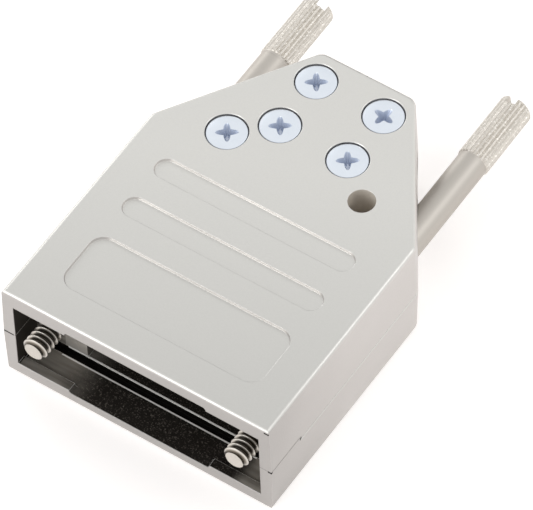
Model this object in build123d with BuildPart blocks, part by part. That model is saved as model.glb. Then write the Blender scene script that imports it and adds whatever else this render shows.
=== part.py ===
from build123d import *
from math import atan2, cos, degrees, radians, sin, tan
import os

os.makedirs("parts", exist_ok=True)

# A two-part die-cast hood for a nine-way connector, in millimetres.
# X runs along the connector, Y from the mating face to the cable end, Z up.
# The origin is the middle of the mating face, on the plane where the halves meet.

# Outline of the hood
side_wall = 1.25
hood_length = 43.9
shoulder_length = 16.5
rear_width = 11.9
half_height = 7.05
wall = 1.5
draft_angle = 1.5
shoulder_round = 1.4
rear_round = 1.6
upper_edge_round = 0.45
lower_edge_round = 0.8
seam_chamfer = 0.12
trim_allowance = 1.0
cut_margin = 1.0

# Overlap of the two halves behind the mouth
lap_start = 5.4
lap_drop = 0.5
lap_width = 0.6
lap_clearance = 0.05

# Connector that the hood takes, from the pitch of its two screws
screw_pitch = 25.0
flange_beyond_screw = 2.9
flange_height = 12.5
flange_thickness = 1.0
flange_setback = 3.8
body_to_screw = 2.85
connector_height = 10.7
connector_clearance = 0.1
flange_clearance = 0.05

# Mouth around the connector
mouth_lip = 1.45
rim_height = 9.8
rim_depth = 1.1
rim_relief_to_screw = 3.75
rim_relief_round = 0.4

# Sunk panels on both broad faces
panel_margin = 4.35
panel_depth = 0.3
panel_start = 4.0
panel_length = 7.6
panel_round = 1.8
strip_length = 2.7
panel_spacing = 3.2
panel_taper = 20

# Machine screws
screw_diameter = 2.5
thread_clearance = 0.02
shank_clearance = 0.1
head_diameter = 4.5
head_height = 1.2
head_chamfer = 0.15
head_gap = 0.1
counterbore_chamfer = 0.07
head_sink = 0.15
cross_length = 2.5
cross_width = 0.62
cross_depth = 0.75
cross_taper = 12
cross_angle = 34
cross_angle_turned = 79
point_chamfer = 0.3
shell_screw_length = 8.0
clamp_screw_length = 10.0
shell_screw_to_thumbscrew = 4.08
shell_screw_to_clamp = 3.7
clamp_screw_to_corner = 1.73
clamp_pitch = 6.85
rear_clamp_to_end = 3.85
post_diameter = 5.4
relief_bore_diameter = 3.0
relief_bore_depth = 4.2

# Cable entries and clamps
straight_entry_diameter = 6.0
angled_entry_diameter = 5.8
angled_entry_from_corner = 5.1
saddle_radius = 3.05
jaw_gap = 1.6
clamp_height = 3.0
clamp_width = 3.7
grip_groove_width = 0.5
grip_groove_depth = 0.3
grip_groove_spacing = 1.6

# Blanking plugs in the angled entries
plug_clearance = 0.05
plug_rim_width = 0.5
plug_rim_depth = 0.45
plug_sink = 0.15

# Captive thumbscrews and the clips that hold them
thread_diameter = 2.84
shank_diameter = 3.45
knurl_diameter = 3.75
tip_position = -0.7
shank_start = 6.5
knurl_beyond_hood = 0.4
knurl_length = 8.65
knurl_depth = 0.16
knurl_teeth = 24
tip_chamfer = 0.35
shank_chamfer = 0.3
end_chamfer = 0.2
slot_width = 1.15
slot_depth = 0.9
slot_angles = {"left": 25, "right": -8}
bore_clearance = 0.08
push_travel = 1.5
pull_travel = 3.5
clip_diameter = 5.6
clip_thickness = 0.6
clip_groove_diameter = 2.3
clip_groove_clearance = 0.05
clip_opening = 2.1
clip_prong_width = 1.1
clip_ring_width = 0.9
clip_prong_angles = (90, 205, -25)
pocket_to_shell_screw = 12.0
pocket_clearance = 0.25
pocket_end_gap = 0.3
tunnel_wall = 1.0
tunnel_wall_slope = 1.6

# Values that follow from the sizes above
flange_width = screw_pitch + 2 * flange_beyond_screw
connector_width = screw_pitch - 2 * body_to_screw
hood_width = flange_width + 2 * side_wall
mouth_width = hood_width - 2 * mouth_lip
rim_relief_width = screw_pitch - 2 * rim_relief_to_screw
panel_width = hood_width - 2 * panel_margin
shell_screw_x = screw_pitch / 2 - shell_screw_to_thumbscrew
mouth_half_height = connector_height / 2
side_length = hood_length - shoulder_length
rear_clamp_y = hood_length - rear_clamp_to_end
front_clamp_y = rear_clamp_y - clamp_pitch
shell_screw_y = front_clamp_y - shell_screw_to_clamp
clamp_screw_x = rear_width / 2 - clamp_screw_to_corner
pocket_start = shell_screw_y - pocket_to_shell_screw
knurl_start = hood_length + knurl_beyond_hood
draft_inset = half_height * tan(radians(draft_angle))
cavity_half_width = connector_width / 2 + connector_clearance
cavity_half_height = mouth_half_height + connector_clearance
groove_half_height = flange_height / 2 + flange_clearance
groove_width = flange_width + 2 * flange_clearance
groove_end = flange_setback + flange_thickness + flange_clearance
strip_starts = [
    panel_start + panel_length + panel_spacing + step * (strip_length + panel_spacing) for step in range(2)
]
head_seat = half_height - head_sink - head_height
counterbore_radius = head_diameter / 2 + head_gap
bore_radius = shank_diameter / 2 + bore_clearance
clip_front = pocket_start + pocket_end_gap + push_travel
pocket_length = 2 * pocket_end_gap + push_travel + pull_travel + clip_thickness
pocket_width = clip_diameter + 2 * pocket_clearance
post_radius = post_diameter / 2
shoulder_across = (hood_width - rear_width) / 2
shoulder_angle = degrees(atan2(shoulder_across, shoulder_length))
shell_screws = {"left": -shell_screw_x, "right": shell_screw_x}
clamps = {"front": front_clamp_y, "rear": rear_clamp_y}
sides = {"left": -1, "right": 1}


def across(x, y, z=0.0, turn=0.0):
    """A plane square to the way the cable runs, turned about Z for the angled entries."""
    way = (sin(radians(turn)), cos(radians(turn)), 0)
    return Plane(origin=(x, y, z), x_dir=(way[1], -way[0], 0), z_dir=way)


def angled_entry_plane(side, depth):
    """The plane of an angled entry, at a depth below the outer face of the shoulder."""
    turn = radians(90 - shoulder_angle)
    x = rear_width / 2 + angled_entry_from_corner * cos(turn) - depth * sin(turn)
    y = hood_length - angled_entry_from_corner * sin(turn) - depth * cos(turn)
    return across(side * x, y, turn=side * (90 - shoulder_angle))


# Plan of the whole hood, with some metal in front of the mating face to trim off flat.
with BuildSketch() as hood_plan:
    with BuildLine():
        Polyline(
            (-hood_width / 2, -trim_allowance),
            (-hood_width / 2, side_length),
            (-rear_width / 2, hood_length),
            (rear_width / 2, hood_length),
            (hood_width / 2, side_length),
            (hood_width / 2, -trim_allowance),
            close=True,
        )
    make_face()
    fillet(hood_plan.vertices().group_by(Axis.Y)[-1], rear_round)
    fillet(hood_plan.vertices().group_by(Axis.Y)[1], shoulder_round)

# The stretch round the mouth, in front of where the two halves overlap.
with BuildSketch() as mouth_plan:
    Rectangle(hood_width, lap_start, align=(Align.CENTER, Align.MIN))

with BuildSketch() as skirt_inner_plan:
    offset(hood_plan.sketch, amount=-lap_width)
    with Locations((0, lap_start)):
        Rectangle(hood_width, hood_length, align=(Align.CENTER, Align.MAX), mode=Mode.SUBTRACT)

with BuildSketch() as tongue_plan:
    offset(hood_plan.sketch, amount=-lap_width - lap_clearance)
    with Locations((0, lap_start)):
        Rectangle(hood_width, hood_length, align=(Align.CENTER, Align.MAX), mode=Mode.SUBTRACT)

# Wiring space behind the connector, with the thumbscrew tunnels and the screw posts left standing.
with BuildSketch() as cavity_plan:
    offset(hood_plan.sketch, amount=-wall)
    with Locations((0, groove_end)):
        Rectangle(hood_width, hood_length, align=(Align.CENTER, Align.MAX), mode=Mode.SUBTRACT)
    for side in sides.values():
        pocket_wall = side * (screw_pitch / 2 - pocket_width / 2 - tunnel_wall)
        with BuildLine():
            Polyline(
                (side * hood_width / 2, groove_end),
                (side * cavity_half_width, groove_end),
                (side * cavity_half_width, pocket_start - tunnel_wall - tunnel_wall_slope),
                (pocket_wall, pocket_start - tunnel_wall),
                (pocket_wall, pocket_start + pocket_length + tunnel_wall),
                (side * cavity_half_width, pocket_start + pocket_length + tunnel_wall + tunnel_wall_slope),
                (side * cavity_half_width, hood_length),
                (side * hood_width / 2, hood_length),
                close=True,
            )
        make_face(mode=Mode.SUBTRACT)
    with Locations(*[(x, shell_screw_y) for x in shell_screws.values()]):
        Circle(post_radius, mode=Mode.SUBTRACT)


def cut_inside():
    """Mouth, flange groove, wiring space, tunnels and entries, the same in both halves."""
    with BuildSketch(Plane.XZ) as rim:
        Rectangle(mouth_width, rim_height)
        with BuildSketch(mode=Mode.PRIVATE) as relief:
            Rectangle(rim_relief_width, 2 * mouth_half_height)
            fillet(relief.vertices(), rim_relief_round)
        add(relief.sketch_local)
    extrude(rim.sketch, amount=-rim_depth, mode=Mode.SUBTRACT)
    with Locations((0, rim_depth, 0)):
        Box(
            mouth_width,
            groove_end - rim_depth,
            mouth_half_height,
            align=(Align.CENTER, Align.MIN, Align.MIN),
            mode=Mode.SUBTRACT,
        )
    with Locations((0, flange_setback, 0)):
        Box(
            groove_width,
            groove_end - flange_setback,
            groove_half_height,
            align=(Align.CENTER, Align.MIN, Align.MIN),
            mode=Mode.SUBTRACT,
        )
    extrude(cavity_plan.sketch, amount=cavity_half_height, mode=Mode.SUBTRACT)
    for side in sides.values():
        with BuildSketch(across(side * screw_pitch / 2, groove_end - flange_thickness)) as bore:
            Circle(bore_radius)
        extrude(bore.sketch, amount=hood_length, mode=Mode.SUBTRACT)
        with Locations((side * screw_pitch / 2, pocket_start, 0)):
            Box(
                pocket_width,
                pocket_length,
                pocket_width,
                align=(Align.CENTER, Align.MIN, Align.CENTER),
                mode=Mode.SUBTRACT,
            )
        with BuildSketch(angled_entry_plane(side, wall + cut_margin)) as angled_entry:
            Circle(angled_entry_diameter / 2)
        extrude(angled_entry.sketch, amount=wall + 2 * cut_margin, mode=Mode.SUBTRACT)
        with BuildSketch(angled_entry_plane(side, (wall + plug_rim_width) / 2)) as rim_groove:
            Circle(angled_entry_diameter / 2 + plug_rim_depth)
        extrude(rim_groove.sketch, amount=plug_rim_width, mode=Mode.SUBTRACT)
    with BuildSketch(across(0, hood_length - wall - cut_margin)) as straight_entry:
        Circle(straight_entry_diameter / 2)
    extrude(straight_entry.sketch, amount=wall + 2 * cut_margin, mode=Mode.SUBTRACT)


def break_counterbore_rims(shell):
    """A small chamfer where each counterbore for a screw head meets the broad face."""
    rims = shell.edges().filter_by(GeomType.CIRCLE).group_by(Axis.Z)[-1]
    chamfer(rims.filter_by(lambda rim: abs(rim.radius - counterbore_radius) < head_gap), counterbore_chamfer)


def cut_panels():
    """Three sunk panels with sloping sides."""
    with BuildSketch(Plane.XY.offset(half_height)) as panels:
        with Locations((0, panel_start + panel_length / 2)):
            RectangleRounded(panel_width, panel_length, panel_round)
        with Locations(*[(0, start + strip_length / 2) for start in strip_starts]):
            SlotOverall(panel_width, strip_length)
    extrude(panels.sketch, amount=-panel_depth, taper=panel_taper, mode=Mode.SUBTRACT)


# Upper half: cast, with a skirt round its edge that laps over the lower half.
with BuildPart() as upper_shell:
    with BuildSketch(Plane.XY.offset(-lap_drop)):
        offset(hood_plan.sketch, amount=-seam_chamfer)
    with BuildSketch(Plane.XY.offset(seam_chamfer - lap_drop)):
        add(hood_plan.sketch)
    with BuildSketch(Plane.XY.offset(half_height)):
        offset(hood_plan.sketch, amount=-draft_inset)
    loft(ruled=True)
    split(bisect_by=Plane.XZ, keep=Keep.BOTTOM)
    fillet(upper_shell.edges().group_by(Axis.Z)[-1], upper_edge_round)
    with Locations((0, lap_start, 0)):
        Box(hood_width, hood_length, lap_drop, align=(Align.CENTER, Align.MAX, Align.MAX), mode=Mode.SUBTRACT)
    extrude(skirt_inner_plan.sketch, amount=-lap_drop, mode=Mode.SUBTRACT)
    cut_inside()
    cut_panels()
    with BuildSketch(Plane.XY.offset(jaw_gap)):
        with Locations(*[(0, y) for y in clamps.values()]):
            SlotCenterToCenter(2 * clamp_screw_x, clamp_width)
    extrude(amount=cavity_half_height - jaw_gap)
    with BuildSketch(across(0, front_clamp_y - clamp_width)):
        Circle(saddle_radius)
    extrude(amount=rear_clamp_y - front_clamp_y + 2 * clamp_width, mode=Mode.SUBTRACT)
    with Locations(
        (shell_screws["left"], shell_screw_y, half_height),
        *[(side * clamp_screw_x, y, half_height) for side in sides.values() for y in clamps.values()],
    ):
        CounterBoreHole(
            radius=screw_diameter / 2 + shank_clearance,
            counter_bore_radius=counterbore_radius,
            counter_bore_depth=half_height - head_seat,
            depth=half_height,
        )
    with Locations((shell_screws["right"], shell_screw_y, half_height)):
        CounterBoreHole(
            radius=screw_diameter / 2 + thread_clearance,
            counter_bore_radius=relief_bore_diameter / 2,
            counter_bore_depth=relief_bore_depth,
            depth=half_height,
        )
    break_counterbore_rims(upper_shell)
upper_shell.part.label = "upper_shell"
export_step(upper_shell.part, "parts/upper_shell.step")

# Lower half: built from the seam outwards like the upper one, then turned over by mirroring.
with BuildPart() as lower_shell:
    with BuildSketch(Plane.XY.offset(lap_drop)):
        offset(hood_plan.sketch, amount=-seam_chamfer)
    with BuildSketch(Plane.XY.offset(lap_drop + seam_chamfer)):
        add(hood_plan.sketch)
    with BuildSketch(Plane.XY.offset(half_height)):
        offset(hood_plan.sketch, amount=-draft_inset)
    loft(ruled=True)
    split(bisect_by=Plane.XZ, keep=Keep.BOTTOM)
    fillet(lower_shell.edges().group_by(Axis.Z)[-1], lower_edge_round)
    extrude(mouth_plan.sketch, amount=lap_drop + seam_chamfer)
    extrude(tongue_plan.sketch, amount=lap_drop)
    cut_inside()
    cut_panels()
    with Locations((shell_screws["right"], shell_screw_y, half_height)):
        CounterBoreHole(
            radius=screw_diameter / 2 + shank_clearance,
            counter_bore_radius=counterbore_radius,
            counter_bore_depth=half_height - head_seat,
            depth=half_height,
        )
    with Locations((shell_screws["left"], shell_screw_y, half_height)):
        CounterBoreHole(
            radius=screw_diameter / 2 + thread_clearance,
            counter_bore_radius=relief_bore_diameter / 2,
            counter_bore_depth=relief_bore_depth,
            depth=half_height,
        )
    break_counterbore_rims(lower_shell)
    mirror(about=Plane.XY, mode=Mode.REPLACE)
lower_shell.part.label = "lower_shell"
export_step(lower_shell.part, "parts/lower_shell.step")


def machine_screw(name, x, y, length, turn, up=1):
    """A cross-recessed screw with a flat head, sunk in its counterbore on the upper or lower face."""
    top = half_height - head_sink
    with BuildPart() as screw:
        with BuildSketch(Plane((x, y, head_seat))):
            Circle(head_diameter / 2)
        extrude(amount=head_height)
        chamfer(screw.edges().group_by(Axis.Z)[-1], head_chamfer)
        with BuildSketch(Plane((x, y, head_seat))):
            Circle(screw_diameter / 2)
        extrude(amount=-length)
        chamfer(screw.edges().group_by(Axis.Z)[0], point_chamfer)
        with BuildSketch(Plane((x, y, top))):
            with Locations(Rotation(0, 0, turn)):
                Rectangle(cross_length, cross_width)
                Rectangle(cross_width, cross_length)
        extrude(amount=-cross_depth, taper=cross_taper, mode=Mode.SUBTRACT)
        if up < 0:
            mirror(about=Plane.XY, mode=Mode.REPLACE)
    screw.part.label = name
    export_step(screw.part, f"parts/{name}.step")


# Two screws close the halves, one from each face.
machine_screw("shell_screw_left", shell_screws["left"], shell_screw_y, shell_screw_length, cross_angle)
machine_screw("shell_screw_right", shell_screws["right"], shell_screw_y, shell_screw_length, cross_angle, up=-1)

# Four screws from above pull the two clamps up against the cable.
for place, y in clamps.items():
    for hand, side in sides.items():
        turned = place == "rear" and hand == "right"
        angle = cross_angle_turned if turned else cross_angle
        machine_screw(f"clamp_screw_{place}_{hand}", side * clamp_screw_x, y, clamp_screw_length, angle)

# Cable clamps: bars with a ridged saddle and a tapped hole at each end.
for place, y in clamps.items():
    with BuildPart() as clamp:
        with BuildSketch(Plane.XY.offset(-jaw_gap)):
            with Locations((0, y)):
                SlotCenterToCenter(2 * clamp_screw_x, clamp_width)
        extrude(amount=-clamp_height)
        with BuildSketch(across(0, y - clamp_width)):
            Circle(saddle_radius)
        extrude(amount=2 * clamp_width, mode=Mode.SUBTRACT)
        for step in (-1, 1):
            with BuildSketch(across(0, y + step * grip_groove_spacing / 2 - grip_groove_width / 2)):
                Circle(saddle_radius + grip_groove_depth)
            extrude(amount=grip_groove_width, mode=Mode.SUBTRACT)
        with Locations((-clamp_screw_x, y, -jaw_gap), (clamp_screw_x, y, -jaw_gap)):
            Hole(radius=screw_diameter / 2 + thread_clearance, depth=clamp_height)
    clamp.part.label = f"cable_clamp_{place}"
    export_step(clamp.part, f"parts/cable_clamp_{place}.step")

# Blanking plugs: discs whose rim sits in a groove that the two halves close over.
for hand, side in sides.items():
    with BuildPart() as plug:
        with BuildSketch(angled_entry_plane(side, wall)):
            Circle(angled_entry_diameter / 2 - plug_clearance)
        extrude(amount=wall - plug_sink)
        with BuildSketch(angled_entry_plane(side, (wall + plug_rim_width) / 2 - plug_clearance)):
            Circle(angled_entry_diameter / 2 + plug_rim_depth - plug_clearance)
        extrude(amount=plug_rim_width - 2 * plug_clearance)
    plug.part.label = f"blanking_plug_{hand}"
    export_step(plug.part, f"parts/blanking_plug_{hand}.step")

# Thumbscrews: turned from bar, with a clip groove, a knurled end and a driver slot.
for hand, side in sides.items():
    axis_x = side * screw_pitch / 2
    knurl_end = knurl_start + knurl_length
    groove_front = clip_front - clip_groove_clearance
    groove_back = clip_front + clip_thickness + clip_groove_clearance
    knurl_step = (knurl_diameter - shank_diameter) / 2
    with BuildPart() as thumbscrew:
        with BuildSketch(Plane((axis_x, 0, 0))):
            with BuildLine():
                Polyline(
                    (0, tip_position),
                    (thread_diameter / 2 - tip_chamfer, tip_position),
                    (thread_diameter / 2, tip_position + tip_chamfer),
                    (thread_diameter / 2, shank_start),
                    (shank_diameter / 2, shank_start + shank_chamfer),
                    (shank_diameter / 2, groove_front),
                    (clip_groove_diameter / 2, groove_front),
                    (clip_groove_diameter / 2, groove_back),
                    (shank_diameter / 2, groove_back),
                    (shank_diameter / 2, knurl_start),
                    (knurl_diameter / 2, knurl_start + knurl_step),
                    (knurl_diameter / 2, knurl_end - end_chamfer),
                    (knurl_diameter / 2 - end_chamfer, knurl_end),
                    (0, knurl_end),
                    close=True,
                )
            make_face()
        revolve(axis=Axis((axis_x, 0, 0), (0, 1, 0)))
        with BuildSketch(across(axis_x, knurl_start - knurl_depth)):
            with PolarLocations(knurl_diameter / 2, knurl_teeth):
                Rectangle(knurl_depth * 2**0.5, knurl_depth * 2**0.5, rotation=45)
        extrude(amount=knurl_length + 2 * knurl_depth, mode=Mode.SUBTRACT)
        with BuildSketch(across(axis_x, knurl_end - slot_depth)):
            Rectangle(2 * knurl_diameter, slot_width, rotation=slot_angles[hand])
        extrude(amount=2 * slot_depth, mode=Mode.SUBTRACT)
    thumbscrew.part.label = f"thumbscrew_{hand}"
    export_step(thumbscrew.part, f"parts/thumbscrew_{hand}.step")

# Spring clips: flat E shapes pushed on from above, which bear on the ends of their pockets.
for hand, side in sides.items():
    ring_radius = clip_diameter / 2
    with BuildPart() as clip:
        with BuildSketch(across(side * screw_pitch / 2, clip_front)):
            Circle(ring_radius)
            Circle(ring_radius - clip_ring_width, mode=Mode.SUBTRACT)
            for angle in clip_prong_angles:
                with PolarLocations(0, 1, start_angle=-angle):
                    Rectangle(
                        ring_radius - clip_ring_width / 2,
                        clip_prong_width,
                        align=(Align.MIN, Align.CENTER),
                    )
            Circle(clip_groove_diameter / 2 + clip_groove_clearance, mode=Mode.SUBTRACT)
            Rectangle(clip_opening, clip_diameter, align=(Align.CENTER, Align.MIN), mode=Mode.SUBTRACT)
        extrude(amount=clip_thickness)
    clip.part.label = f"retaining_clip_{hand}"
    export_step(clip.part, f"parts/retaining_clip_{hand}.step")
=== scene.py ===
import bmesh
import bpy
from math import hypot, pi, radians
from mathutils import Matrix, Vector


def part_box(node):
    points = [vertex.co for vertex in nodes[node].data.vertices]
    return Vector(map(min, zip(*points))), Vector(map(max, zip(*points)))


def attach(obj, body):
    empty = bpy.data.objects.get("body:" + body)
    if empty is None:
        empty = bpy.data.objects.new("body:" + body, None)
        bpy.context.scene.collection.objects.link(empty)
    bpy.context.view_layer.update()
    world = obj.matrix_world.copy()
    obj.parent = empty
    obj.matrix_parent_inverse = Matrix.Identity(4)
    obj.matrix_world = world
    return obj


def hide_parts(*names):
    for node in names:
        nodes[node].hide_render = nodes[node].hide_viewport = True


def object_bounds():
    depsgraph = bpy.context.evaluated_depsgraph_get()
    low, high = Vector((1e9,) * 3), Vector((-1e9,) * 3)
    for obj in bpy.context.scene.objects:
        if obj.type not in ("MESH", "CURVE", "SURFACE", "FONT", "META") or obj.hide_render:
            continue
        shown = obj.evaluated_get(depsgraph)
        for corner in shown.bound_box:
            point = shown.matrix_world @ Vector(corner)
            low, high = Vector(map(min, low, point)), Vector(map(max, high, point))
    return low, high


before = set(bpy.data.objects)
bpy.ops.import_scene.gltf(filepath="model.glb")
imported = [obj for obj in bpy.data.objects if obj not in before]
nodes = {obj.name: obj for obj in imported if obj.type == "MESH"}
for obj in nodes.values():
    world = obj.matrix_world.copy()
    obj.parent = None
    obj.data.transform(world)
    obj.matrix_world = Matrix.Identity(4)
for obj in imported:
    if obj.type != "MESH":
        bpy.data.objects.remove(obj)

cad_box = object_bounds()

# The camera, at the place that was worked out from the photograph: a long lens from the front right,
# a little over 50 degrees up. The three vectors are its own right, up and backward directions.
camera_place = Vector((0.2344, -0.3014, 0.5444))
camera_right = Vector((0.8313, 0.5553, -0.0260))
camera_up = Vector((-0.4352, 0.6792, 0.5909))
camera_back = Vector((0.3458, -0.4799, 0.8063))
camera_data = bpy.data.cameras.new("camera")
camera_data.sensor_width = 36
camera_data.lens = 437.6
camera_data.clip_start = 0.05
camera_data.clip_end = 20
camera = bpy.data.objects.new("camera", camera_data)
bpy.context.scene.collection.objects.link(camera)
camera.matrix_world = Matrix.Translation(camera_place) @ Matrix(
    (camera_right, camera_up, camera_back)
).transposed().to_4x4()
bpy.context.scene.camera = camera


# The studio: a white sheet that the hood lies on in a white room, clear from below, with a broad soft box
# from the front left, smaller ones from the left and from the right behind, and a grey card behind it that
# draws fine grey lines along the metal's edges. The card is left out of what the camera itself sees.
def linear(colour):
    """An sRGB colour such as "D8D6D1" as linear red, green, blue and alpha."""
    channels = [int(colour[i : i + 2], 16) / 255 for i in (0, 2, 4)]
    return tuple(c / 12.92 if c <= 0.04045 else ((c + 0.055) / 1.055) ** 2.4 for c in channels) + (1.0,)


def add_node(tree, kind, settings=(), inputs=()):
    """Adds a node: settings are its own choices, and inputs are values or the sockets that feed it."""
    made = tree.nodes.new(kind)
    for name, value in dict(settings).items():
        setattr(made, name, value)
    for name, value in dict(inputs).items():
        if isinstance(value, bpy.types.NodeSocket):
            tree.links.new(value, made.inputs[name])
        else:
            made.inputs[name].default_value = value
    return made


def new_material(name):
    """An empty node tree with an output, and its shader."""
    material = bpy.data.materials.new(name)
    material.use_nodes = True
    tree = material.node_tree
    return material, tree, tree.nodes["Principled BSDF"]


def new_piece(name, bm, material, smooth_angle=35):
    """Makes an object from a finished mesh, shaded smooth up to an angle between its faces."""
    mesh = bpy.data.meshes.new(name)
    bm.to_mesh(mesh)
    bm.free()
    mesh.materials.append(material)
    mesh.shade_smooth()
    mesh.set_sharp_from_angle(angle=radians(smooth_angle))
    piece = bpy.data.objects.new(name, mesh)
    bpy.context.scene.collection.objects.link(piece)
    return piece


room_strength = 0.8
sheet_glow = 0.37


def seen_directly(tree):
    """1 where the eye sees a thing itself or in a mirroring surface, and 0 where it only gives light."""
    rays = add_node(tree, "ShaderNodeLightPath").outputs
    total = rays["Is Camera Ray"]
    for kind in ("Is Glossy Ray", "Is Transmission Ray"):
        either = add_node(tree, "ShaderNodeMath", {"operation": "MAXIMUM"}, {0: total, 1: rays[kind]})
        total = either.outputs[0]
    return total


world = bpy.data.worlds.new("room")
bpy.context.scene.world = world
world.use_nodes = True
room = world.node_tree
room_shade = add_node(
    room, "ShaderNodeMix", {"data_type": "FLOAT"}, {0: seen_directly(room), 2: room_strength, 3: 1.0}
)
room.nodes["Background"].inputs["Color"].default_value = linear("FFFFFF")
room.links.new(room_shade.outputs[0], room.nodes["Background"].inputs["Strength"])

floor_gap = 0.00002
floor_half_width = 1.5
floor_height = cad_box[0].z - floor_gap
bm = bmesh.new()
bmesh.ops.create_grid(bm, x_segments=1, y_segments=1, size=floor_half_width)
bmesh.ops.translate(bm, verts=bm.verts, vec=(0, 0, floor_height))
sheet, sheet_tree, sheet_shader = new_material("white paper")
sheet_shader.inputs["Base Color"].default_value = linear("F5F1EF")
sheet_shader.inputs["Roughness"].default_value = 0.9
sheet_shader.inputs["Specular IOR Level"].default_value = 0.1
glow = add_node(
    sheet_tree, "ShaderNodeMath", {"operation": "MULTIPLY"}, {0: seen_directly(sheet_tree), 1: sheet_glow}
)
sheet_shader.inputs["Emission Color"].default_value = linear("FFFFFF")
sheet_tree.links.new(glow.outputs[0], sheet_shader.inputs["Emission Strength"])
from_below = add_node(sheet_tree, "ShaderNodeNewGeometry").outputs["Backfacing"]
clear = add_node(sheet_tree, "ShaderNodeBsdfTransparent").outputs["BSDF"]
one_sided = add_node(
    sheet_tree, "ShaderNodeMixShader", inputs={0: from_below, 1: sheet_shader.outputs["BSDF"], 2: clear}
)
sheet_tree.links.new(one_sided.outputs[0], sheet_tree.nodes["Material Output"].inputs["Surface"])
floor = new_piece("floor", bm, sheet)

grey_card, _, card_shader = new_material("matt grey card")
card_shader.inputs["Base Color"].default_value = linear("454545")
card_shader.inputs["Roughness"].default_value = 0.9
card_place = (-0.14, 0.37, 0.06)
card_width = 0.30
card_height = 0.14
bm = bmesh.new()
bmesh.ops.create_grid(bm, x_segments=1, y_segments=1, size=0.5)
bmesh.ops.scale(bm, verts=bm.verts, vec=(card_width, card_height, 1))
facing = Vector((card_place[0], card_place[1], 0)).to_track_quat("Z", "Y")
bmesh.ops.transform(bm, verts=bm.verts, matrix=Matrix.Translation(card_place) @ facing.to_matrix().to_4x4())
card = new_piece("card_behind", bm, grey_card)
card.visible_camera = False

for name, place, size, watts in (
    ("soft_box_front", (-0.32, -0.75, 0.38), 0.55, 2.4),
    ("soft_box_left", (-0.72, 0.43, 0.28), 0.30, 0.6),
    ("soft_box_right", (0.55, 0.42, 0.62), 0.35, 0.9),
):
    lamp = bpy.data.lights.new(name, "AREA")
    lamp.shape = "SQUARE"
    lamp.size = size
    lamp.energy = watts
    lamp_object = bpy.data.objects.new(name, lamp)
    bpy.context.scene.collection.objects.link(lamp_object)
    lamp_object.location = place
    lamp_object.rotation_mode = "QUATERNION"
    lamp_object.rotation_quaternion = Vector(place).to_track_quat("Z", "Y")


# The two halves of the hood, and the plugs in its angled entries: zinc, die-cast, tumbled and satin nickel
# plated. The eye sees a pale warm grey metal with a soft sheen, very fine grain and bright rounded edges.
# Painted shade darkens its front, its sides and its dull inside, and painted highlights brighten edges
# inside.
def within(tree, place, low, high):
    """1 inside a box between two corners, and 0 outside it."""
    middle = [(a + b) / 2 for a, b in zip(low, high)]
    half = [(b - a) / 2 for a, b in zip(low, high)]
    away = add_node(tree, "ShaderNodeVectorMath", {"operation": "SUBTRACT"}, {0: place, 1: middle})
    away = add_node(tree, "ShaderNodeVectorMath", {"operation": "DIVIDE"}, {0: away.outputs[0], 1: half})
    away = add_node(tree, "ShaderNodeVectorMath", {"operation": "ABSOLUTE"}, {0: away.outputs[0]})
    away = add_node(tree, "ShaderNodeSeparateXYZ", inputs={"Vector": away.outputs[0]}).outputs
    most = add_node(tree, "ShaderNodeMath", {"operation": "MAXIMUM"}, {0: away["X"], 1: away["Y"]})
    most = add_node(tree, "ShaderNodeMath", {"operation": "MAXIMUM"}, {0: most.outputs[0], 1: away["Z"]})
    inside = add_node(tree, "ShaderNodeMath", {"operation": "LESS_THAN"}, {0: most.outputs[0], 1: 1.0})
    return inside.outputs[0]


def blend(tree, factor, below, above):
    """The colour above laid over the colour below where the factor is 1."""
    return add_node(tree, "ShaderNodeMix", {"data_type": "RGBA"}, {0: factor, 6: below, 7: above}).outputs[2]


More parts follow.
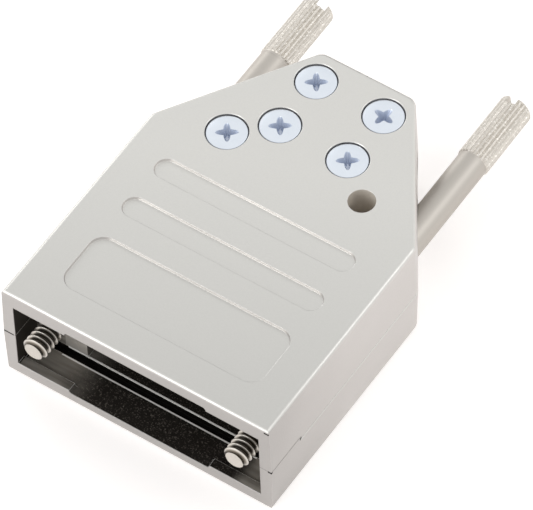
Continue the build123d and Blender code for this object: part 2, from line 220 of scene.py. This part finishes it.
def cast_metal(name, colour, roughness, grain_mm, grain_depth_mm, edge_mm, hood=False):
    """A metal with a grain, a drifting gloss and soft edges; the hood's outside and inside get painted shade
    and highlights.
    """
    material, tree, shader = new_material(name)
    place = add_node(tree, "ShaderNodeTexCoord").outputs["Object"]
    grain = add_node(
        tree,
        "ShaderNodeTexNoise",
        inputs={"Vector": place, "Scale": 1000 / grain_mm, "Detail": 3.0, "Roughness": 0.6},
    )
    cloud = add_node(
        tree,
        "ShaderNodeTexNoise",
        inputs={"Vector": place, "Scale": 1000 / cloud_mm, "Detail": 2.0, "Roughness": 0.5},
    )
    gloss = add_node(
        tree,
        "ShaderNodeMapRange",
        inputs={"Value": cloud.outputs["Fac"], "From Min": 0.3, "From Max": 0.7,
                "To Min": roughness - 0.04, "To Max": roughness + 0.05},
    )
    tree.links.new(gloss.outputs["Result"], shader.inputs["Roughness"])
    edge = add_node(tree, "ShaderNodeBevel", {"samples": 8}, {"Radius": edge_mm / 1000})
    bump = add_node(
        tree,
        "ShaderNodeBump",
        inputs={"Height": grain.outputs["Fac"], "Strength": 0.5, "Distance": grain_depth_mm / 1000,
                "Normal": edge.outputs["Normal"]},
    )
    tree.links.new(bump.outputs["Normal"], shader.inputs["Normal"])
    shader.inputs["Metallic"].default_value = 1.0
    tint = blend(tree, grain.outputs["Fac"], linear(colour[0]), linear(colour[1]))
    if hood:
        tint = outside_tint(tree, place, tint)
        # Inside the hollow the colour is painted: painted shade, painted lit grey patches and painted edge
        # highlights.
        inside = inside_hood(tree, place)
        painted_inside, painted_highlight = inside_tint(tree, place, edge)
        tint = blend(tree, inside, tint, painted_inside)
        dulled = add_node(
            tree, "ShaderNodeMapRange", inputs={"Value": painted_highlight, "To Min": inside_dull, "To Max": highlight_dull}
        )
        shine = add_node(
            tree, "ShaderNodeMath", {"operation": "MULTIPLY"}, {0: inside, 1: dulled.outputs["Result"]}
        )
        shine = add_node(tree, "ShaderNodeMath", {"operation": "SUBTRACT"}, {0: 1.0, 1: shine.outputs[0]})
        hole = within(tree, place, *open_hole_box)
        tint = blend(tree, hole, tint, linear("DDD6CC"))
        shine = add_node(
            tree,
            "ShaderNodeMath",
            {"operation": "MULTIPLY_ADD"},
            {0: hole, 1: -hole_dull, 2: shine.outputs[0]},
        )
        tree.links.new(shine.outputs[0], shader.inputs["Metallic"])
    tree.links.new(tint, shader.inputs["Base Color"])
    return material


def outside_tint(tree, place, tint):
    """Painted shade: darker toward the mouth and on the sides, in the seam, at its ends and at a top corner.
    """
    # Painted shade: the colour is scaled darker toward the mouth and a little lighter toward the back.
    toward_back = add_node(
        tree, "ShaderNodeVectorMath", {"operation": "DOT_PRODUCT"}, {0: place, 1: (-0.35, 1.0, 0.0)}
    )
    painted_shade_gradient = add_node(
        tree,
        "ShaderNodeMapRange",
        inputs={"Value": toward_back.outputs["Value"], "From Min": -0.006, "From Max": 0.029,
                "To Min": 0.87, "To Max": 1.04},
    )
    tint = add_node(
        tree, "ShaderNodeVectorMath", {"operation": "SCALE"}, {0: tint, 3: painted_shade_gradient.outputs["Result"]}
    ).outputs["Vector"]
    # Painted shade: faces that stand upright take a pinker, darker copy of the colour, darkest toward the
    # mouth.
    spot = add_node(tree, "ShaderNodeSeparateXYZ", inputs={"Vector": place})
    side_shade = add_node(
        tree,
        "ShaderNodeMapRange",
        inputs={"Value": spot.outputs["Y"], "From Min": 0.0, "From Max": 0.014,
                "To Min": 0.80, "To Max": 0.95},
    )
    shaded_side_tint = add_node(tree, "ShaderNodeVectorMath", {"operation": "MULTIPLY"}, {0: tint, 1: side_shade_hue})
    shaded_side_tint = add_node(
        tree, "ShaderNodeVectorMath", {"operation": "SCALE"},
        {0: shaded_side_tint.outputs["Vector"], 3: side_shade.outputs["Result"]},
    ).outputs["Vector"]
    facing_up = add_node(tree, "ShaderNodeNewGeometry").outputs["Normal"]
    facing_up = add_node(tree, "ShaderNodeSeparateXYZ", inputs={"Vector": facing_up}).outputs["Z"]
    upright = add_node(tree, "ShaderNodeMath", {"operation": "COMPARE"}, {0: facing_up, 1: 0.0, 2: 0.5})
    tint = blend(tree, upright.outputs[0], tint, shaded_side_tint)
    # Painted shadow in the seam and at its ends, and a painted dark patch at the top front right corner.
    for low, high, colour in painted_shadows:
        tint = blend(tree, within(tree, place, low, high), tint, linear(colour))
    return tint


def inside_hood(tree, place):
    """1 on the walls of the hollow and of the flange slot, 0 on the outside and in the open screw holes."""
    hollow_low = (shell_low.x + inner_wall, face_margin, shell_low.z + roof_thickness)
    hollow_high = (shell_high.x - inner_wall, shell_high.y - inner_wall, -shell_low.z - roof_thickness)
    flat = add_node(
        tree, "ShaderNodeVectorMath", {"operation": "MULTIPLY"}, {0: place, 1: (1.0, 1.0, 0.0)}
    ).outputs["Vector"]
    flat = add_node(tree, "ShaderNodeVectorMath", {"operation": "ABSOLUTE"}, {0: flat}).outputs["Vector"]
    from_hole = add_node(
        tree, "ShaderNodeVectorMath", {"operation": "DISTANCE"}, {0: flat, 1: open_hole}
    ).outputs["Value"]
    beside_hole = add_node(
        tree, "ShaderNodeMath", {"operation": "GREATER_THAN"}, {0: from_hole, 1: open_hole_radius}
    ).outputs[0]
    past_shoulder = add_node(
        tree, "ShaderNodeVectorMath", {"operation": "DOT_PRODUCT"}, {0: flat, 1: shoulder_facing}
    ).outputs["Value"]
    before_shoulder = add_node(
        tree, "ShaderNodeMath", {"operation": "LESS_THAN"}, {0: past_shoulder, 1: shoulder_reach - inner_wall}
    ).outputs[0]
    hollow = add_node(
        tree, "ShaderNodeMath", {"operation": "MULTIPLY"},
        {0: within(tree, place, hollow_low, hollow_high), 1: beside_hole},
    ).outputs[0]
    hollow = add_node(
        tree, "ShaderNodeMath", {"operation": "MULTIPLY"}, {0: hollow, 1: before_shoulder}
    ).outputs[0]
    return add_node(
        tree, "ShaderNodeMath", {"operation": "MAXIMUM"}, {0: hollow, 1: within(tree, place, *flange_slot)}
    ).outputs[0]


def inside_tint(tree, place, edge):
    """Nearly black painted shade with light specks, streaky grey painted light by both screws, painted edge
    highlights.
    """
    spot = add_node(tree, "ShaderNodeSeparateXYZ", inputs={"Vector": place})
    specks = add_node(
        tree,
        "ShaderNodeTexNoise",
        inputs={"Vector": place, "Scale": 1000 / speck_mm, "Detail": 2.0, "Roughness": 0.7},
    )
    specks = add_node(
        tree,
        "ShaderNodeMapRange",
        inputs={"Value": specks.outputs["Fac"], "From Min": 0.56, "From Max": 0.72},
    )
    # Painted shade: the walls of the hollow are painted nearly black, with light specks.
    base = blend(tree, specks.outputs["Result"], linear("2B2723"), linear("8E877E"))
    # Painted light: the walls by both screws near the mouth are painted a lit, streaky grey.
    stretched = add_node(
        tree, "ShaderNodeMapping", inputs={"Vector": place, "Scale": streaks_per_metre}
    )
    streaks = add_node(
        tree,
        "ShaderNodeTexNoise",
        inputs={"Vector": stretched.outputs["Vector"], "Scale": 1.0, "Detail": 2.0},
    )
    grey = blend(tree, streaks.outputs["Fac"], linear("5A554E"), linear("C2BCB3"))
    by_screw = 0.0
    for start, full in grey_by_screws:
        nearer = add_node(
            tree,
            "ShaderNodeMapRange",
            {"interpolation_type": "SMOOTHSTEP"},
            {"Value": spot.outputs["X"], "From Min": start, "From Max": full},
        )
        by_screw = add_node(
            tree, "ShaderNodeMath", {"operation": "MAXIMUM"}, {0: nearer.outputs["Result"], 1: by_screw}
        ).outputs[0]
    near_mouth = add_node(
        tree,
        "ShaderNodeMapRange",
        {"interpolation_type": "SMOOTHSTEP"},
        {"Value": spot.outputs["Y"], "From Min": 0.009, "From Max": 0.005},
    )
    pale = add_node(
        tree, "ShaderNodeMath", {"operation": "MULTIPLY"},
        {0: by_screw, 1: near_mouth.outputs["Result"]},
    )
    base = blend(tree, pale.outputs[0], base, grey)
    # Painted light on the block faces beside the flange slot, and painted shade on the mouth's left wall.
    for low, high, colour in lit_and_shaded_areas:
        base = blend(tree, within(tree, place, low, high), base, linear(colour))
    # Painted shade: the flange groove's floor is painted nearly black.
    base = blend(tree, within(tree, place, *flange_groove), base, linear("1B1815"))
    # Painted highlights: edges found by the bevel's rounded normal are painted near white, none in the flange
    # slot, plus
    # lines along the groove's edges; the metal there is less of a mirror so the lamps light it.
    surface = add_node(tree, "ShaderNodeNewGeometry").outputs["Normal"]
    flatness = add_node(
        tree, "ShaderNodeVectorMath", {"operation": "DOT_PRODUCT"}, {0: surface, 1: edge.outputs["Normal"]}
    )
    painted_highlight = add_node(
        tree,
        "ShaderNodeMapRange",
        inputs={"Value": flatness.outputs["Value"], "From Min": highlight_start, "From Max": highlight_full},
    ).outputs["Result"]
    painted_highlight = blend(tree, within(tree, place, *flange_slot), painted_highlight, (0, 0, 0, 1))
    for low, high in groove_highlights:
        painted_highlight = add_node(
            tree, "ShaderNodeMath", {"operation": "MAXIMUM"}, {0: painted_highlight, 1: within(tree, place, low, high)}
        ).outputs[0]
    return blend(tree, painted_highlight, base, linear("F6F4F0")), painted_highlight


cloud_mm = 9.0
# The pinker hue of the painted shade on the sides.
side_shade_hue = (1.0, 0.975, 0.985)
inside_dull = 0.5
highlight_dull = 0.9
hole_dull = 0.75
speck_mm = 0.17
streaks_per_metre = (160, 1500, 1500)
grey_by_screws = (-0.006, -0.0115), (0.0113, 0.0130)
highlight_start = 0.995
highlight_full = 0.93
inner_wall = 0.0008
face_margin = 0.0001
roof_thickness = 0.0014
flange_slot = (-0.0162, 0.0038, -0.0065), (0.0162, 0.00488, 0.0065)
flange_groove = (-0.0162, 0.0038, -0.0065), (0.0162, 0.00488, -0.00536)
# Lines of painted highlight along the groove's front and back edges.
groove_highlights = (
    ((-0.0122, 0.00360, -0.00537), (0.0122, 0.0038, -0.0052)),
    ((-0.0122, 0.00484, -0.00550), (0.0122, 0.00504, -0.0052)),
)
# Boxes painted lit grey on the block faces beside the slot, and painted dark as shade on the mouth's left
# wall.
lit_and_shaded_areas = (
    ((-0.0125, 0.0047, -0.00536), (-0.0078, 0.0049, 0.0064), "C8C3BB"),
    ((0.0115, 0.0047, -0.00536), (0.0158, 0.0049, 0.0064), "C8C3BB"),
    ((-0.0162, 0.0001, -0.00536), (-0.0150, 0.0100, 0.0064), "38332E"),
)
# Boxes of painted shadow: grey lines along the seam, dark spots where it steps and meets the front, and one
# dark
# patch at the top front right corner.
painted_shadows = (
    ((-0.0170, 0.0054, -0.00056), (0.0170, 0.0450, -0.00044), "7C7975"),
    ((-0.0170, -0.0001, -0.00005), (0.0170, 0.0054, 0.00003), "7C7975"),
    ((0.0163, 0.00522, -0.00056), (0.0170, 0.00552, -0.00012), "1E1C1A"),
    ((0.0162, -0.0001, -0.00022), (0.0170, 0.0002, 0.00006), "1E1C1A"),
    ((-0.0170, -0.0001, -0.00014), (-0.0154, 0.0002, 0.00010), "2A2724"),
    ((0.0159, -0.0001, 0.00650), (0.0168, 0.0001, 0.00672), "2A2724"),
)
open_hole = (0.00842, 0.0295, 0.0)
open_hole_radius = 0.0017
open_hole_box = (0.00691, 0.02799, 0.0028), (0.00993, 0.03101, 0.00703)
shell_low, shell_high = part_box("lower_shell")
shoulder_length = 0.0165
shoulder_across = 0.0107
rear_half_width = 0.00595
shoulder_facing = Vector((shoulder_length, shoulder_across, 0)).normalized()
shoulder_reach = shoulder_facing.dot((rear_half_width, shell_high.y, 0))
nickel_plate = cast_metal(
    "satin nickel plate on die-cast zinc",
    colour=("CFCECA", "D6D5D1"),
    roughness=0.42,
    grain_mm=0.2,
    grain_depth_mm=0.010,
    edge_mm=0.09,
    hood=True,
)
for name in ("upper_shell", "lower_shell", "blanking_plug_left", "blanking_plug_right"):
    nodes[name].data.materials.clear()
    nodes[name].data.materials.append(nickel_plate)


# The cable clamps: small zinc castings from the same bath, seen only through the mouth and the
# cable entry, a little duller than the hood itself.
dull_nickel = cast_metal(
    "nickel plate on die-cast zinc, as cast",
    colour=("A8A49D", "B6B3AD"),
    roughness=0.5,
    grain_mm=0.3,
    grain_depth_mm=0.02,
    edge_mm=0.08,
)
for name in ("cable_clamp_front", "cable_clamp_rear"):
    nodes[name].data.materials.clear()
    nodes[name].data.materials.append(dull_nickel)

# The E-shaped clips: stamped from spring steel strip and left dark from hardening. Each sits in its
# thumbscrew's groove and keeps the screw captive in a pocket of the shells.
spring_steel = cast_metal(
    "spring steel, hardened",
    colour=("8E8B88", "9A9794"),
    roughness=0.35,
    grain_mm=0.2,
    grain_depth_mm=0.004,
    edge_mm=0.04,
)
for name in ("retaining_clip_left", "retaining_clip_right"):
    nodes[name].data.materials.clear()
    nodes[name].data.materials.append(spring_steel)


# The machine screws: cold-headed steel with a flat head and a cross recess, plated with clear zinc
# that gives them a cold blue cast beside the warm nickel. Each stands for its plain CAD screw.
def zinc_plate():
    """Clear zinc, bluer and less of a mirror below the head's top face, with a brown painted shade on the
    shank.
    """
    material, tree, shader = new_material("clear blue zinc plate on steel")
    place = add_node(tree, "ShaderNodeTexCoord").outputs["Object"]
    cloud = add_node(
        tree,
        "ShaderNodeTexNoise",
        inputs={"Vector": place, "Scale": 1000 / plate_cloud_mm, "Detail": 3.0, "Roughness": 0.55},
    )
    tint = blend(tree, cloud.outputs["Fac"], linear("DCE3EC"), linear("E4EAF1"))
    height = add_node(tree, "ShaderNodeSeparateXYZ", inputs={"Vector": place}).outputs["Z"]
    height = add_node(tree, "ShaderNodeMath", {"operation": "ABSOLUTE"}, {0: height}).outputs[0]
    # Below the head's top face the zinc is bluer, partly its own blue and partly a painted reflection of the
    # recess;
    # deeper, on the shank, it is a brown of painted shade.
    for start, full, colour in (blue_start, blue_full, "C9D1E0"), (shank_shade_start, shank_shade_full, "857C72"):
        below_top = add_node(
            tree,
            "ShaderNodeMapRange",
            inputs={"Value": height, "From Min": head_top - start, "From Max": head_top - full},
        )
        tint = blend(tree, below_top.outputs["Result"], tint, linear(colour))
    tree.links.new(tint, shader.inputs["Base Color"])
    bump = add_node(
        tree, "ShaderNodeBump", inputs={"Height": cloud.outputs["Fac"], "Strength": 0.3, "Distance": 0.00001}
    )
    tree.links.new(bump.outputs["Normal"], shader.inputs["Normal"])
    shine = add_node(
        tree,
        "ShaderNodeMapRange",
        inputs={"Value": height, "From Min": head_top - blue_full, "From Max": head_top - blue_start,
                "To Min": 0.45, "To Max": 1.0},
    )
    tree.links.new(shine.outputs["Result"], shader.inputs["Metallic"])
    shader.inputs["Roughness"].default_value = 0.3
    return material


plate_cloud_mm = 1.4
head_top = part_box("shell_screw_left")[1].z
head_height = 0.0012
head_edge = 0.00018
round_share = 0.29
blue_start = 0.00002
blue_full = 0.00012
shank_shade_start = 0.0011
shank_shade_full = 0.0013
screw_shank_radius = 0.00125
point_chamfer = 0.0003
recess_length = 0.00250
recess_width = 0.00080
recess_depth = 0.00110
recess_floor = 0.0008
zinc = zinc_plate()


def recess_punch(middle, top, turn):
    """The punch that forms a cross recess, two tapered wings of oval section, as an object to cut with."""
    bm = bmesh.new()
    for quarter in (0, 90):
        made = bmesh.ops.create_cone(
            bm,
            cap_ends=True,
            segments=32,
            radius1=recess_floor / 2,
            radius2=recess_length - recess_floor / 2,
            depth=2 * recess_depth,
        )["verts"]
        bmesh.ops.scale(bm, verts=made, vec=(1, recess_width / recess_length, 1))
        bmesh.ops.rotate(bm, verts=made, matrix=Matrix.Rotation(radians(quarter + turn), 3, "Z"))
    bmesh.ops.translate(bm, verts=bm.verts, vec=(middle.x, middle.y, top))
    mesh = bpy.data.meshes.new("recess_punch")
    bm.to_mesh(mesh)
    bm.free()
    return bpy.data.objects.new("recess_punch", mesh)


for name, turn in (
    ("shell_screw_left", 34),
    ("shell_screw_right", 34),
    ("clamp_screw_front_left", 34),
    ("clamp_screw_front_right", 34),
    ("clamp_screw_rear_left", 34),
    ("clamp_screw_rear_right", 79),
):
    low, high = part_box(name)
    up = 1 if high.z + low.z > 0 else -1
    top = high.z if up > 0 else -low.z
    end = low.z if up > 0 else -high.z
    middle = Vector(((low.x + high.x) / 2, (low.y + high.y) / 2, 0))
    head_radius = (high.x - low.x) / 2
    bm = bmesh.new()
    corners = [
        (0, top),
        (head_radius - head_edge, top),
        (head_radius - head_edge * round_share, top - head_edge * round_share),
        (head_radius, top - head_edge),
        (head_radius, top - head_height),
        (screw_shank_radius, top - head_height),
        (screw_shank_radius, end + point_chamfer),
        (screw_shank_radius - point_chamfer, end),
        (0, end),
    ]
    outline = [bm.verts.new((r, 0, z)) for r, z in corners]
    edges = [bm.edges.new(pair) for pair in zip(outline, outline[1:])]
    bmesh.ops.spin(
        bm, geom=outline + edges, cent=(0, 0, 0), axis=(0, 0, 1), angle=2 * pi, steps=72, use_merge=True
    )
    bmesh.ops.remove_doubles(bm, verts=bm.verts, dist=1e-7)
    bmesh.ops.recalc_face_normals(bm, faces=bm.faces)
    bmesh.ops.translate(bm, verts=bm.verts, vec=middle)
    blank = new_piece("blank", bm, zinc)
    punch = recess_punch(middle, top, turn)
    bpy.context.scene.collection.objects.link(punch)
    cut = blank.modifiers.new("recess", "BOOLEAN")
    cut.operation = "DIFFERENCE"
    cut.solver = "EXACT"
    cut.use_self = True
    cut.object = punch
    bpy.context.view_layer.update()
    bm = bmesh.new()
    bm.from_object(blank, bpy.context.evaluated_depsgraph_get())
    if up < 0:
        bmesh.ops.scale(bm, verts=bm.verts, vec=(1, 1, -1))
        bmesh.ops.reverse_faces(bm, faces=bm.faces)
    bpy.data.objects.remove(blank)
    bpy.data.objects.remove(punch)
    screw = new_piece(name + "_detailed", bm, zinc, smooth_angle=30)
    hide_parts(name)
    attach(screw, "hood")


# The two thumbscrews: turned from brass bar and nickel plated, a warmer metal than the hood. The shank is
# smooth and duller, the straight knurl carries painted glints, and the rolled 4-40 thread stands for the
# plain CAD tip.
def turned_nickel():
    """Turning marks on the shank, specks of painted glint on the knurl, and painted shade in the thread's
    roots.
    """
    material, tree, shader = new_material("nickel plate on turned brass")
    place = add_node(tree, "ShaderNodeTexCoord").outputs["Object"]
    rings = add_node(
        tree, "ShaderNodeMapping", inputs={"Vector": place, "Scale": (120, 1000 / turning_mark_mm, 120)}
    )
    marks = add_node(
        tree,
        "ShaderNodeTexNoise",
        inputs={"Vector": rings.outputs["Vector"], "Scale": 1.0, "Detail": 2.0},
    )
    speck = add_node(
        tree,
        "ShaderNodeTexNoise",
        inputs={"Vector": place, "Scale": 1000 / knurl_speck_mm, "Detail": 3.0, "Roughness": 0.7},
    )
    spot = add_node(tree, "ShaderNodeSeparateXYZ", inputs={"Vector": place})
    on_knurl = add_node(
        tree, "ShaderNodeMath", {"operation": "GREATER_THAN"}, {0: spot.outputs["Y"], 1: knurl_start}
    )
    height = add_node(
        tree,
        "ShaderNodeMix",
        {"data_type": "FLOAT"},
        {0: on_knurl.outputs[0], 2: marks.outputs["Fac"], 3: speck.outputs["Fac"]},
    )
    depth = add_node(
        tree,
        "ShaderNodeMix",
        {"data_type": "FLOAT"},
        {0: on_knurl.outputs[0], 2: 0.12, 3: 0.8},
    )
    edge = add_node(tree, "ShaderNodeBevel", {"samples": 6}, {"Radius": 0.0001})
    bump = add_node(
        tree,
        "ShaderNodeBump",
        inputs={"Height": height.outputs[0], "Strength": depth.outputs[0], "Distance": 0.00004,
                "Normal": edge.outputs["Normal"]},
    )
    tree.links.new(bump.outputs["Normal"], shader.inputs["Normal"])
    tint = blend(tree, speck.outputs["Fac"], linear("C6C1B9"), linear("DAD5CD"))
    # Painted glints: the brightest specks on the knurl are painted near white.
    glints = add_node(
        tree,
        "ShaderNodeMapRange",
        inputs={"Value": speck.outputs["Fac"], "From Min": 0.56, "From Max": 0.66},
    )
    glints = add_node(
        tree,
        "ShaderNodeMath",
        {"operation": "MULTIPLY"},
        {0: glints.outputs["Result"], 1: on_knurl.outputs[0]},
    )
    tint = blend(tree, glints.outputs[0], tint, linear("FBF8F2"))
    on_shank = add_node(
        tree,
        "ShaderNodeMath",
        {"operation": "COMPARE"},
        {0: spot.outputs["Y"], 1: (knurl_start + smooth_start) / 2, 2: (knurl_start - smooth_start) / 2},
    )
    tint = blend(tree, on_shank.outputs[0], tint, linear("BDB8B1"))
    aside = add_node(tree, "ShaderNodeMath", {"operation": "ABSOLUTE"}, {0: spot.outputs["X"]})
    aside = add_node(
        tree, "ShaderNodeMath", {"operation": "SUBTRACT"}, {0: aside.outputs[0], 1: screw_offset}
    )
    across = add_node(tree, "ShaderNodeCombineXYZ", inputs={"X": aside.outputs[0], "Z": spot.outputs["Z"]})
    radius = add_node(tree, "ShaderNodeVectorMath", {"operation": "LENGTH"}, {0: across.outputs["Vector"]})
    # Painted shade: the thread is painted dark toward its roots, from just behind the tip's face to the
    # thread's end.
    root = add_node(
        tree,
        "ShaderNodeMapRange",
        inputs={"Value": radius.outputs["Value"], "From Min": thread_radius - crest_margin,
                "From Max": root_radius + root_margin},
    )
    on_thread = add_node(
        tree,
        "ShaderNodeMath",
        {"operation": "COMPARE"},
        {0: spot.outputs["Y"], 1: (thread_end + shade_start) / 2, 2: (thread_end - shade_start) / 2},
    )
    shadow = add_node(
        tree,
        "ShaderNodeMath",
        {"operation": "MULTIPLY"},
        {0: root.outputs["Result"], 1: on_thread.outputs[0]},
    )
    tint = blend(tree, shadow.outputs[0], tint, linear("6A6359"))
    tree.links.new(tint, shader.inputs["Base Color"])
    gloss = add_node(
        tree, "ShaderNodeMapRange", inputs={"Value": on_thread.outputs[0], "To Min": 0.5, "To Max": 0.3}
    )
    tree.links.new(gloss.outputs["Result"], shader.inputs["Roughness"])
    shader.inputs["Metallic"].default_value = 1.0
    return material


turning_mark_mm = 0.12
knurl_speck_mm = 0.25
crest_margin = 0.00008
root_margin = 0.0001
shade_start = -0.00065
thread_pitch = 0.000635
thread_radius = 0.00142
root_radius = 0.00103
crest_width = thread_pitch / 8
root_width = thread_pitch / 4
tip_chamfer = 0.00035
thread_end = 0.0064
turns_ahead = 1.65
steps_per_turn = 96
screw_offset = 0.0125
shank_radius = 0.001725
shank_start = 0.0065
smooth_start = 0.0066
shank_chamfer = 0.0003
clip_seat_radius = 0.00115
clip_clearance = 0.00005
knurl_cut = 0.0440
knurl_start = 0.0443
six_teeth = radians(90)
warm_nickel = turned_nickel()

for hand in ("left", "right"):
    name = f"thumbscrew_{hand}"
    low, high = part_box(name)
    axis_point = Vector(((low.x + high.x) / 2, 0, 0))
    tip = low.y

    # The thread: one turn's zigzag is spun round the axis while it travels back, then cut square at
    # both ends and chamfered at the tip.
    turns = int((thread_end - tip) / thread_pitch) + 3
    flank = (thread_pitch - crest_width - root_width) / 2
    zigzag = [(root_radius, 0), (root_radius, root_width), (thread_radius, root_width + flank),
              (thread_radius, root_width + flank + crest_width), (root_radius, thread_pitch)]
    bm = bmesh.new()
    start = tip - turns_ahead * thread_pitch
    chain = [bm.verts.new((axis_point.x + r, start + y, 0)) for r, y in zigzag]
    edges = [bm.edges.new(pair) for pair in zip(chain, chain[1:])]
    bmesh.ops.spin(
        bm,
        geom=chain + edges,
        cent=axis_point,
        axis=(0, 1, 0),
        angle=2 * pi * turns,
        steps=steps_per_turn * turns,
        dvec=(0, thread_pitch / steps_per_turn, 0),
    )
    bmesh.ops.remove_doubles(bm, verts=bm.verts, dist=2e-6)
    for y, normal in ((tip, (0, -1, 0)), (thread_end, (0, 1, 0))):
        cut = bmesh.ops.bisect_plane(
            bm,
            geom=bm.verts[:] + bm.edges[:] + bm.faces[:],
            plane_co=(0, y, 0),
            plane_no=normal,
            clear_outer=True,
        )
        rim = [e for e in cut["geom_cut"] if isinstance(e, bmesh.types.BMEdge)]
        bmesh.ops.holes_fill(bm, edges=rim)
    for v in bm.verts:
        away = hypot(v.co.x - axis_point.x, v.co.z)
        most = thread_radius - tip_chamfer + (v.co.y - tip)
        if away > most:
            v.co.x = axis_point.x + (v.co.x - axis_point.x) * most / away
            v.co.z *= most / away
    thread_mesh = bpy.data.meshes.new("thread")
    bm.to_mesh(thread_mesh)
    bm.free()

    # The smooth shank is spun from its outline, with the groove that the clip sits in.
    clip_low, clip_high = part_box(f"retaining_clip_{hand}")
    corners = [
        (0, thread_end),
        (thread_radius, thread_end),
        (thread_radius, shank_start),
        (shank_radius, shank_start + shank_chamfer),
        (shank_radius, clip_low.y - clip_clearance),
        (clip_seat_radius, clip_low.y - clip_clearance),
        (clip_seat_radius, clip_high.y + clip_clearance),
        (shank_radius, clip_high.y + clip_clearance),
        (shank_radius, knurl_cut),
        (0, knurl_cut),
    ]
    bm = bmesh.new()
    outline = [bm.verts.new((axis_point.x + r, y, 0)) for r, y in corners]
    edges = [bm.edges.new(pair) for pair in zip(outline, outline[1:])]
    bmesh.ops.spin(
        bm, geom=outline + edges, cent=axis_point, axis=(0, 1, 0), angle=2 * pi, steps=96, use_merge=True
    )
    bmesh.ops.remove_doubles(bm, verts=bm.verts, dist=1e-7)
    shank_mesh = bpy.data.meshes.new("shank")
    bm.to_mesh(shank_mesh)
    bm.free()

    # The knurled end is that of the CAD thumbscrew, turned by six of its teeth so that the slot stands
    # as it does in the photograph.
    bm = bmesh.new()
    bm.from_mesh(nodes[name].data)
    bmesh.ops.remove_doubles(bm, verts=bm.verts, dist=1e-6)
    cut = bmesh.ops.bisect_plane(
        bm,
        geom=bm.verts[:] + bm.edges[:] + bm.faces[:],
        plane_co=(0, knurl_cut, 0),
        plane_no=(0, 1, 0),
        clear_inner=True,
    )
    bmesh.ops.holes_fill(bm, edges=[e for e in cut["geom_cut"] if isinstance(e, bmesh.types.BMEdge)])
    bmesh.ops.rotate(bm, verts=bm.verts, cent=axis_point, matrix=Matrix.Rotation(six_teeth, 3, "Y"))
    for front in (thread_mesh, shank_mesh):
        bm.from_mesh(front)
        bpy.data.meshes.remove(front)
    bmesh.ops.recalc_face_normals(bm, faces=bm.faces)
    thumbscrew = new_piece(name + "_threaded", bm, warm_nickel, smooth_angle=4.5)
    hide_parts(name)
    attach(thumbscrew, f"{hand}_thumbscrew")

bpy.context.scene.view_settings.view_transform = "Standard"
